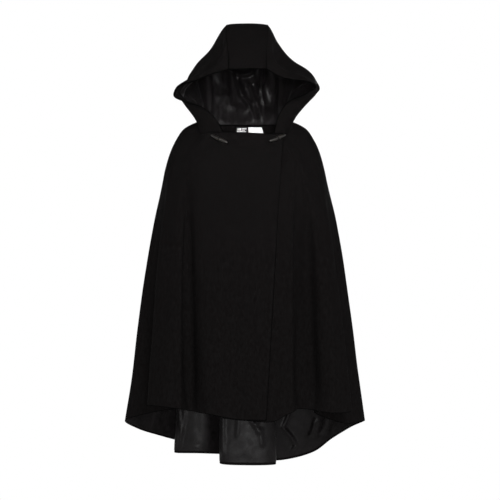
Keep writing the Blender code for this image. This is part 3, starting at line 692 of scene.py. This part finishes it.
# Soft breaks of the hood's wool
hoodCreases = (
    ("left flank break", "front", -0.056, 0.272, -0.158, 0.156, 0.008, -0.0020, 0.012),
    ("left flank swell", "front", -0.044, 0.262, -0.140, 0.150, 0.012, 0.0010, 0.012),
    ("left cheek break", "left", -0.110, 0.095, 0.020, 0.060, 0.010, -0.0024, 0.006),
    ("right flank break", "front", 0.092, 0.262, 0.150, 0.172, 0.009, -0.0016, -0.008),
    ("right cheek break", "right", -0.100, 0.105, 0.030, 0.056, 0.010, -0.0024, -0.006),
    ("right temple hang", "right", -0.080, 0.200, -0.030, 0.090, 0.014, -0.0020, -0.006),
    ("left temple hang", "left", -0.080, 0.190, -0.020, 0.090, 0.014, -0.0020, 0.006),
    ("nape break left", "back", -0.070, 0.070, 0.010, 0.052, 0.010, -0.0026, 0.006),
    ("nape break right", "back", 0.074, 0.086, 0.000, 0.070, 0.010, -0.0022, -0.006),
    ("back of head hang", "back", -0.024, 0.210, -0.018, 0.100, 0.016, -0.0018, 0.004),
)


def curveShare(points):
    # share of a line's whole length at each of its points
    run = np.concatenate([[0], np.cumsum(np.linalg.norm(np.diff(points, axis=0), axis=1))])
    return run / run[-1]


def lineAt(points, share):
    # a smooth line through points, by the share of its length
    return np.stack([smoothLine(curveShare(points), points[:, k], share) for k in range(3)], axis=-1)


def hoodSide(side, foot, up, along):
    # a Coons patch between foot, front edge, top seam and rear seam, pushed out by bells in its fullness
    middle = np.array([row[1:4] for row in hoodCut["strip"]])
    half = np.array([row[4] for row in hoodCut["strip"]])
    seam = middle + np.outer(half, [side, 0, 0])
    seam[-1] = foot[-1]
    turn = curveShare(seam)[hoodCut["corner"]]
    foot = lineAt(foot, along)
    edge = np.array([row[1:] for row in hoodCut["edges"][side]])
    front = np.concatenate([[foot[0]], edge[::-1], [seam[0]]])
    tip = curveShare(front)[len(edge) - 3]
    front = lineAt(front, np.interp(up, [0, 0.5, 1], [0, tip, 1]))
    top, rear = lineAt(seam, along * turn), lineAt(seam, 1 - up * (1 - turn))
    s, t = along[:, None, None], up[None, :, None]
    ruled = (1 - t) * foot[:, None] + t * top[:, None] + (1 - s) * front[None] + s * rear[None]
    points = ruled - (1 - s) * ((1 - t) * foot[0] + t * top[0]) - s * ((1 - t) * foot[-1] + t * top[-1])
    bell = 16 * s * (1 - s) * t * (1 - t)
    for _, on, back, high, width, outward in hoodCut["fullness"]:
        if on == side:
            spread = np.exp(-((s - back) ** 2 + (t - high) ** 2) / width ** 2)
            points = points + spread * bell * np.array([side * outward, 0, 0])
    return points, np.concatenate([top, rear[-2::-1]])


def seatFoot(points, normals, bodyNormals):
    # the first row is moved so that the hood's middle layer starts on the body's, fading out 15 mm up
    seam = np.array([0, 0, bodyCut["seam"]])
    shift = (normals[:, :1] - bodyNormals[:, None]) * bodyCut["woolThick"] / 2 - seam
    return points + shift * (1 - ease(arcAlong(points, 1) / 0.015))[..., None]


def hoodGrids(up, along, across):
    # both sides and the strip, whose two long edges are the sides' seams and which is crowned between them
    marks = [foldAt[name] for name in hoodCut["marks"]]
    topRows = np.array([0.0, 0.004])
    grids, seams, seat = {}, {}, {}
    for side, (front, nape) in ((-1, (marks[0], marks[1])), (1, (marks[3], marks[2]))):
        foot, out = (g[:, 0] for g in bodyGrid(np.linspace(front, nape, 200), topRows))
        grids[side], seams[side] = hoodSide(side, foot, up, along)
        share = curveShare(foot)
        seat[side] = -side * np.stack([np.interp(along, share, out[:, k]) for k in range(3)], axis=-1)
    nape, seat["strip"] = (g[:, 0] for g in bodyGrid(np.linspace(marks[1], marks[2], len(across)), topRows))
    left, right, share = seams[-1][None], seams[1][None], across[:, None, None]
    flat = left + (right - left) * share
    over = unit(np.cross(right - left, np.gradient(flat, axis=1)))
    end = lineAt(nape, across) - (nape[0] + (nape[-1] - nape[0]) * across[:, None])
    grow = ease((curveShare(seams[-1]) - 0.8) / 0.2)[None, :, None]
    strip = flat + (1 - grow) * hoodCut["stripCrown"] * 4 * share * (1 - share) * over + grow * end[:, None]
    normals = {side: side * gridNormals(grids[side]) for side in grids}
    normals["strip"] = gridNormals(strip)
    grids["strip"] = strip
    for side, edge in ((-1, 0), (1, -1)):
        own = normals[side]
        shared = unit(np.concatenate([own[:, -1], own[-1, -2::-1]]) + normals["strip"][edge])
        own[:, -1], own[-1, ::-1] = shared[: len(own)], shared[len(own) - 1:]
        normals["strip"][edge] = shared
    for key in (-1, 1):
        grids[key] = seatFoot(grids[key], normals[key], seat[key])
    grids["strip"] = seatFoot(strip[:, ::-1], normals["strip"][:, ::-1], seat["strip"])[:, ::-1]
    return grids, normals


def hoodRelief(points, normals):
    # the listed creases and a slow unevenness, faded out at the neck seam
    slow = uneven(points, "hood wool") * ease((points[..., 2] - 0.02) / 0.05)
    return creaseHeight(points, normals, hoodCreases) + slow


def cutOut(grid, side, part):
    # the columns of a side run outwards from the photo's left, so that every shell winds the same way
    grid = grid[part]
    return grid[::-1] if side == -1 else grid


up = spaced(0.0, 1.0, hoodCut["sideRows"], 0.006)
alongSide = spaced(0.0, 1.0, hoodCut["sideColumns"], 0.005)
acrossStrip = spaced(0.0, 1.0, hoodCut["stripColumnsFine"], 0.012)
hoodPoints, hoodNormals = hoodGrids(up, alongSide, acrossStrip)
drawn, within = hoodCut["soften"]
for key, grid in hoodPoints.items():
    if key == "strip":
        far = np.minimum(arcAlong(grid, 0), arcAlong(grid[::-1], 0)[::-1])
    else:
        far = np.minimum(arcAlong(grid[:, ::-1], 1)[:, ::-1], arcAlong(grid[::-1], 0)[::-1])
    # not at the neck seam or the brim
    free = ease((grid[..., 2] - 0.03) / 0.06) * ease((grid[..., 1] + 0.15) / 0.05)
    relief = hoodRelief(grid, hoodNormals[key]) - drawn * np.exp(-(far / within) ** 1.5) * free
    hoodPoints[key] = grid + hoodNormals[key] * relief[..., None]
hoodPieces = {
    -1: {"node": "hood_side_left", "name": "hoodSideRight", "flat": (0.36, 0.40), "area": 0.095},
    1: {"node": "hood_side_right", "name": "hoodSideLeft", "flat": (0.36, 0.40), "area": 0.095},
    "strip": {"node": "hood_strip", "name": "hoodStrip", "flat": (0.11, 0.62), "area": 0.062},
}
for side, cut in hoodPieces.items():
    points, normals = (cutOut(g[side], side, slice(None)) for g in (hoodPoints, hoodNormals))
    shell = clothShell(cut["name"], points, normals, bodyCut["woolThick"])
    finishCloth(shell, cut["node"], wool)
print("hood made")

# Folds of the hood's satin, whose height is measured into the hollow
hoodLiningFolds = (
    ("long diagonal", "back", 0.004, 0.140, 0.046, 0.030, 0.007, 0.0066, 0.005),
    ("short diagonal", "back", -0.010, 0.100, 0.024, 0.030, 0.006, 0.0050, 0.005),
    ("left slant", "back", -0.026, 0.176, -0.006, 0.094, 0.008, 0.0100, -0.004),
    ("left slant low", "back", -0.006, 0.094, 0.014, 0.060, 0.008, 0.0060, 0.003),
    ("left groove", "back", -0.040, 0.180, -0.026, 0.050, 0.010, -0.0030, 0.002),
    ("left band inner", "back", -0.060, 0.190, -0.058, 0.080, 0.014, 0.0080, 0.002),
    ("left sag", "back", -0.080, 0.140, -0.056, 0.136, 0.018, 0.0036, -0.003),
    ("right sag", "back", 0.030, 0.122, 0.080, 0.126, 0.026, 0.0130, -0.004),
    ("middle slack", "back", 0.012, 0.200, 0.024, 0.130, 0.008, 0.0040, 0.004),
    ("right hang", "back", 0.046, 0.196, 0.048, 0.030, 0.005, 0.0050, 0.002),
    ("right band", "back", 0.068, 0.196, 0.066, 0.080, 0.011, 0.0080, 0.002),
    ("right outer hang", "back", 0.100, 0.180, 0.098, 0.040, 0.009, 0.0060, 0.002),
    ("left band", "back", -0.082, 0.196, -0.078, 0.080, 0.014, 0.0080, 0.002),
    ("left outer crease", "back", -0.110, 0.170, -0.104, 0.040, 0.007, 0.0060, 0.004),
    ("left tip pucker", "left", -0.030, 0.112, 0.020, 0.086, 0.014, 0.0034, 0.006),
    ("left tip pucker low", "left", -0.030, 0.072, 0.030, 0.060, 0.012, 0.0040, -0.006),
    ("right tip pucker", "right", -0.040, 0.122, 0.030, 0.084, 0.014, 0.0050, 0.006),
    ("right tip slant", "right", -0.050, 0.086, 0.010, 0.112, 0.012, 0.0040, 0.005),
    ("right side hang", "right", 0.020, 0.170, 0.030, 0.040, 0.018, 0.0050, 0.004),
    ("left side hang", "left", 0.030, 0.170, 0.036, 0.036, 0.018, 0.0050, -0.004),
    ("sag under the brim", "back", -0.052, 0.182, 0.034, 0.184, 0.006, 0.0080, -0.020),
    ("crown slack", "back", -0.030, 0.240, 0.034, 0.232, 0.012, 0.0030, 0.004),
)


def hoodSatin(points, normals):
    # the listed folds, puckers in two sizes, and a crinkled roll just above the neck seam at the back
    pucker, fine = uneven(points, "hood satin", 1), uneven(points, "hood satin puckers", 1)
    roll = np.exp(-((points[..., 2] - 0.026) / 0.008) ** 2) * ease((points[..., 1] - 0.02) / 0.03)
    folded = np.clip(creaseHeight(points, normals, hoodLiningFolds) + pucker + fine, 0, None)
    return folded + 0.0005 * roll * (1 + uneven(points, "hood roll"))


hoodLinings = {
    -1: {"node": "lining_hood_left", "name": "hoodLiningRight", "flat": (0.34, 0.40), "area": 0.08},
    1: {"node": "lining_hood_right", "name": "hoodLiningLeft", "flat": (0.34, 0.40), "area": 0.09},
    "strip": {"node": "lining_hood_strip", "name": "hoodLiningStrip", "flat": (0.11, 0.58), "area": 0.056},
}
facingSteps = int(np.searchsorted(alongSide, hoodCut["facing"]))
behind = slice(facingSteps, None)
for side, cut in hoodLinings.items():
    part = (slice(None), behind) if side == "strip" else behind
    points, normals = (cutOut(g[side], side, part) for g in (hoodPoints, hoodNormals))
    depth = bodyCut["woolThick"] + bodyCut["seam"] + hoodSatin(points, normals)
    points = points - normals * depth[..., None]
    shell = clothShell(cut["name"], points, gridNormals(points), bodyCut["liningThick"])
    finishCloth(shell, cut["node"], satin)

hoodFacing = {"thick": 0.0012, "flat": (0.86, 0.05), "area": 0.034}
run = []
for grid in (hoodPoints, hoodNormals):
    left, over, right = grid[-1], grid["strip"], grid[1]
    run.append(np.concatenate([left[:facingSteps + 1].swapaxes(0, 1), over[1:-1, :facingSteps + 1],
                               right[:facingSteps + 1].swapaxes(0, 1)[::-1]]))
points, normals = run
points = points - normals * (bodyCut["woolThick"] + bodyCut["seam"])
shell = clothShell("hoodFacing", points, normals, hoodFacing["thick"])
finishCloth(shell, "hood_facing", wool)
print("hood linings made")

# Each label: node, name, middle, width, slot, ground, and its bars' left, right, low and high, in metres
labelCut = {
    "thick": 0.0009, "down": (0.008, 0.038), "curl": 0.0016,
    "labels": (
        ("label_maker", "darkLabel", -0.010, 0.032, "label_dark", "black",
         ((0.003, 0.014, 0.002, 0.009), (0.016, 0.029, 0.002, 0.0055), (0.016, 0.025, 0.007, 0.0095),
          (0.003, 0.029, 0.011, 0.0135), (0.003, 0.021, 0.015, 0.018))),
        ("label_care", "careLabel", 0.030, 0.041, "label_light", "white", ()),
    ),
}
for node, name, middle, width, slot, ground, bars in labelCut["labels"]:
    near = np.linspace(foldAt["left middle crest"], foldAt["right middle crest"], 300)
    neck = bodyPoint(near, np.full_like(near, 0.02))[:, 0]
    along = np.interp(middle + width * spaced(-0.5, 0.5, 30, 0.02), neck, near)
    points, normals = bodyGrid(along, spaced(*labelCut["down"], 18, 0.0006))
    share = np.linspace(0, 1, points.shape[1]) ** 2
    wave = 0.0003 * np.sin(np.linspace(0, 9, points.shape[0]))[:, None]
    lift = bodyCut["woolThick"] + facingCut["thick"] + 2 * bodyCut["seam"] + (labelCut["curl"] + wave) * share
    points = points - normals * lift[..., None]
    label = clothShell(name, points, gridNormals(points), labelCut["thick"])
    finishPiece(label, wovenLabel(name + "Ribbon", hexLinear(labelLook[ground]), bars), [node])
print("labels made")

# Toggles: word of the node, the wearer's side, x, z and slope in degrees
toggleCut = {
    "length": 0.052, "radius": 0.0047, "tip": 0.0006, "sections": 60, "sides": 36, "bow": 0.0012,
    "clear": 0.0013, "bandThick": 0.0018, "cord": 0.00078, "cordGap": 0.0002, "cordSides": 10, "turns": 4,
    "spread": 0.0040, "tail": 0.0012,
    "places": (("left", "Right", -0.068, -0.044, -26.0), ("right", "Left", 0.087, -0.041, 204.0)),
}


def bandQuads(index):
    # the quads between neighbouring rings of vertex numbers, each ring closed on itself
    beside = np.roll(index, -1, axis=-1)
    corners = [index[..., :-1, :], beside[..., :-1, :], beside[..., 1:, :], index[..., 1:, :]]
    return np.stack(corners, axis=-1).reshape(-1, 4)


def capQuads(ring):
    # quads that close a ring of an even number of vertices
    half, last = len(ring) // 2, len(ring) - 1
    return np.stack([ring[:half - 1], ring[1:half], ring[last - 1:half - 1:-1], ring[last:half:-1]], axis=-1)


def closedTube(path, radius, sides):
    # rings of the given radius carried along a path, capped at both ends; uv is in metres along and around
    way = unit(np.gradient(path, axis=0))
    start = np.cross(way[0], [0.31, 0.87, 0.38])
    side = unit(start - way * (way @ start)[:, None])
    over = np.cross(way, side)
    angle = np.linspace(0, 2 * math.pi, sides + 1)[:-1]
    radius = np.broadcast_to(radius, len(path))
    spoke = np.cos(angle)[:, None] * side[:, None] + np.sin(angle)[:, None] * over[:, None]
    vertices = (path[:, None] + radius[:, None, None] * spoke).reshape(-1, 3)
    uv = np.stack(np.broadcast_arrays(arcAlong(path, 0)[:, None], angle * radius.max()), axis=-1)
    index = np.arange(len(vertices)).reshape(len(path), sides)
    quads = [bandQuads(index), capQuads(index[0])[:, ::-1], capQuads(index[-1])]
    return vertices, np.concatenate(quads), uv.reshape(-1, 2)


def togglePlace(x, z):
    # the point of the wrapped front at this x and z, and its outward direction
    points, normals = dressedBody(np.linspace(0, foldAt["left trough"], 300), np.linspace(0, 0.2, 160))
    place = np.unravel_index(np.hypot(points[..., 0] - x, points[..., 2] - z).argmin(), points.shape[:2])
    return points[place], normals[place]


for word, wearer, x, z, slope in toggleCut["places"]:
    place, out = togglePlace(x, z)
    slope = math.radians(slope)
    line = np.array([math.cos(slope), 0, math.sin(slope)])
    line[1] = -(line @ out) / out[1]
    line = unit(line)
    side = np.cross(out, line)
    middle = place + out * (toggleCut["radius"] + toggleCut["bandThick"] + toggleCut["clear"])
    # horn: radius = tip + R (1 - |t|^2.6)^0.55 along t from -1 to 1, on a slightly bowed middle line
    t = np.sin(np.linspace(-math.pi / 2, math.pi / 2, toggleCut["sections"]))
    radius = toggleCut["radius"] * np.maximum(1 - np.abs(t) ** 2.6, 0) ** 0.55 + toggleCut["tip"]
    path = middle + np.outer(t * toggleCut["length"] / 2, line) + np.outer(toggleCut["bow"] * t * t, out)
    toggle = addMesh("hornToggle" + wearer, *closedTube(path, radius, toggleCut["sides"]))
    finishPiece(toggle, horn, ["toggle_" + word])
    # cord: a helix close round the toggle, whose two ends run down into the cloth
    turns = np.linspace(0, 2 * math.pi * toggleCut["turns"], 40 * toggleCut["turns"])
    reach = toggleCut["radius"] + toggleCut["tip"] + toggleCut["cord"] + toggleCut["cordGap"]
    coil = (middle + np.outer((turns / turns[-1] - 0.5) * toggleCut["spread"], line)
            + reach * (np.cos(turns)[:, None] * -out + np.sin(turns)[:, None] * side))
    tail = out * toggleCut["tail"]
    coil = np.concatenate([[coil[0] - tail], coil, [coil[-1] - tail]])
    cord = addMesh("cordWrap" + wearer, *closedTube(coil, toggleCut["cord"], toggleCut["cordSides"]))
    finishPiece(cord, waxedCord, ["toggle_band_" + word])
print("toggles made")

# The row of machine stitches down the wrap's free edge, in metres: stitch length, step, half width, how deep
# each sinks, how far in from the edge, and how far from the top and the hem it starts and ends
stitchCut = {"length": 0.0034, "pitch": 0.0046, "width": 0.00042, "sink": 0.0001, "edgeIn": 0.007,
             "first": 0.004, "last": 0.008, "rings": 5, "sides": 6}


def stitchRow(name, line, normals):
    # a flattened bead for each stitch, laid along the line at even steps and half sunk in the cloth
    run = arcAlong(line, 0)
    starts = np.arange(stitchCut["first"], run[-1] - stitchCut["last"], stitchCut["pitch"])
    steps = np.linspace(0, 1, stitchCut["rings"])
    at = starts[:, None] + steps * stitchCut["length"]
    spine = np.stack([np.interp(at, run, line[:, k]) for k in range(3)], axis=-1)
    out = unit(np.stack([np.interp(at, run, normals[:, k]) for k in range(3)], axis=-1))
    way = unit(np.gradient(spine, axis=1))
    side = np.cross(way, out)
    full = np.sqrt(np.clip(1 - (2 * steps - 1) ** 2 * 0.96, 0, 1))[None, :, None, None]
    angle = np.linspace(0, 2 * math.pi, stitchCut["sides"], endpoint=False)
    spoke = np.cos(angle)[:, None] * side[:, :, None] + 0.6 * np.sin(angle)[:, None] * out[:, :, None]
    points = spine[:, :, None] - stitchCut["sink"] * out[:, :, None] + stitchCut["width"] * full * spoke
    index = np.arange(points[..., 0].size).reshape(points.shape[:3])
    quads = [bandQuads(index)]
    for ends, flip in ((index[:, 0], True), (index[:, -1], False)):
        for a, b, c, d in ((0, 1, 2, 3), (0, 3, 4, 5)):
            cap = ends[:, [a, b, c, d]]
            quads.append(cap[:, ::-1] if flip else cap)
    uv = np.stack(np.broadcast_arrays(at[:, :, None], angle[None, None] * stitchCut["width"]), axis=-1)
    piece = addMesh(name, points.reshape(-1, 3), np.concatenate(quads), uv.reshape(-1, 2))
    finishPiece(piece, sewingThread, [])


points, normals = dressedBody(np.linspace(0, 0.03, 24), np.linspace(0, 1, 260))
column = np.abs(arcAlong(points, 0) - stitchCut["edgeIn"]).argmin(axis=0)
row = np.arange(points.shape[1])
stitchRow("frontEdgeStitch", points[column, row], normals[column, row])
print("sewing made")

# Floor and backdrop: radii of the floor's rings, its height and shade, the strength of walls and ceiling,
# and the sines of the two angles above the horizon between which the walls fade
studio = {"floorRadii": (0.6, 1.2, 1.75), "floorHeight": -1.40, "floorShade": "dddcdb", "wall": 1.0,
          "ceiling": 0.22, "fade": (0.25, 0.52)}
angle = np.linspace(0, 2 * math.pi, 97)[:-1]
low = studio["floorHeight"]
disc = np.array([[(r * math.cos(a), r * math.sin(a), low) for a in angle] for r in studio["floorRadii"]])
index = np.arange(disc[..., 0].size).reshape(disc.shape[:2])
floor = addMesh("floor", disc.reshape(-1, 3), np.concatenate([bandQuads(index)[:, ::-1], capQuads(index[0])]))
paper = newMaterial("mattPaper", {"Roughness": 0.9, "Base Color": hexLinear(studio["floorShade"])})[0]
floor.data.materials.append(paper)

world = bpy.data.worlds.new("studio")
bpy.context.scene.world = world
world.use_nodes = True
# the walls are white to 14 degrees above and below the horizon and fade to a dim ceiling by 31 degrees
tree = world.node_tree
way = addNode(tree, "TexCoord").outputs["Generated"]
height = addNode(tree, "SeparateXYZ", {"Vector": way})
rise = addNode(tree, "Math", {0: height.outputs["Z"]}, {"operation": "ABSOLUTE"})
low, high = studio["fade"]
shade = addNode(tree, "MapRange", {"Value": rise.outputs["Value"], "From Min": low, "From Max": high,
                                   "To Min": studio["wall"], "To Max": studio["ceiling"]},
                {"interpolation_type": "SMOOTHSTEP"})
setSockets(tree, tree.nodes["Background"], {"Strength": shade.outputs["Result"], "Color": (1, 1, 1, 1)})
bpy.context.scene.view_settings.view_transform = "Standard"

# Area lamps: name, place, the point each faces, watts, width in metres, spread in degrees
lamps = (
    ("keySoftbox", (0.8, -3.8, 1.15), (0.0, 0.0, -0.30), 156, 0.9, 180),
    ("frontSoftbox", (0.1, -4.3, -0.5), (0.0, 0.0, -0.20), 122, 0.8, 180),
    ("hoodSoftbox", (0.1, -3.9, -0.05), (0.0, 0.0, 0.15), 1.3, 0.5, 18),
    ("leftSoftbox", (-3.9, 0.5, 0.5), (0.0, 0.0, -0.35), 36, 1.0, 180),
    ("rightSoftbox", (3.9, 0.5, 0.5), (0.0, 0.0, -0.35), 32, 1.0, 180),
    ("backSoftbox", (0.6, 4.2, 0.9), (0.0, 0.0, -0.35), 260, 1.0, 180),
)
for name, place, target, power, size, spread in lamps:
    light = bpy.data.lights.new(name, "AREA")
    light.energy, light.size, light.spread = power, size, math.radians(spread)
    lamp = bpy.data.objects.new(name, light)
    bpy.context.scene.collection.objects.link(lamp)
    lamp.location = place
    way = np.array(target) - np.array(place)
    tip = math.atan2(math.hypot(way[0], way[1]), -way[2])
    lamp.rotation_euler = (tip, 0, math.atan2(way[1], way[0]) - math.pi / 2)

# The camera looks level at the poncho from 3.6 m away, where the picture spans 1.4 m: 500 pixels of 2.8 mm
photoView = {"x": 0.014, "z": -0.342, "away": 3.6, "across": 1.4, "sensor": 36}
camera = bpy.data.cameras.new("camera")
camera.sensor_width = photoView["sensor"]
camera.lens = photoView["sensor"] * photoView["away"] / photoView["across"]
view = bpy.data.objects.new("camera", camera)
view.location = (photoView["x"], -photoView["away"], photoView["z"])
view.rotation_euler = (math.pi / 2, 0, 0)
bpy.context.scene.collection.objects.link(view)
bpy.context.scene.camera = view
print("studio made")
